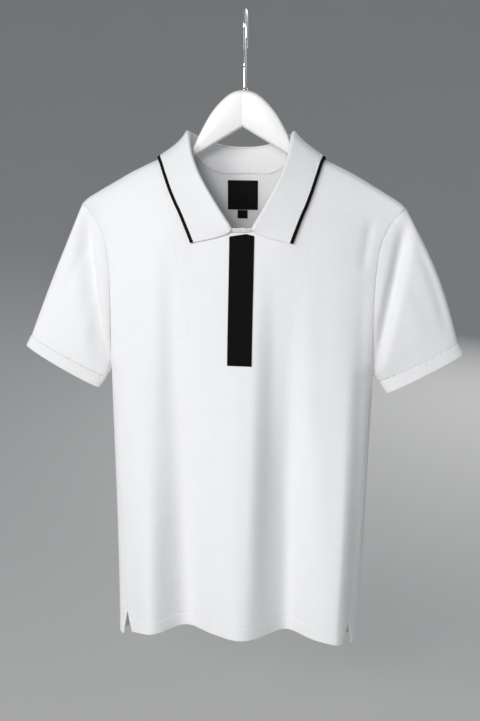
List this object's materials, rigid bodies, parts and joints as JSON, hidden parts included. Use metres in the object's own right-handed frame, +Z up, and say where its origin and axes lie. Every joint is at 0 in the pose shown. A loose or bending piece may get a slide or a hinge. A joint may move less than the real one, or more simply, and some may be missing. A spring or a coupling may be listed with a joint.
{
  "type": "polo shirt on a hanger",
  "caption": "Short-sleeved knitted polo shirt with a turned-down collar edged in black, a covered placket and side vents, hung open on a painted wooden hanger with a wire hook.",
  "frame": {"origin": "seat of the hook, the highest point inside its loop, where it bears on a rail", "axes": "+X to the right as seen from the front, +Y through the shirt from its front to its back, +Z up"},
  "size_m": [0.6217, 0.1088, 0.8934],
  "materials": {
    "white_knit": "matt pique knit",
    "black_twill": "dull close weave",
    "black_satin_weave": "soft satin weave",
    "white_painted_wood": "satin white paint",
    "chrome": "polished"
  },
  "bodies": {
    "root": {"front": "white_knit", "back": "white_knit", "sleeve_left": "white_knit", "sleeve_right": "white_knit", "cuff_left": "white_knit", "cuff_right": "white_knit", "collar_stand": "white_knit", "collar_leaf": "white_knit", "collar_binding": "black_twill", "placket": "black_twill", "neck_label": "black_satin_weave", "size_tab": "black_satin_weave", "hanger": "white_painted_wood", "hook": "chrome", "hook_ferrule": "chrome"}
  },
  "joints": []
}
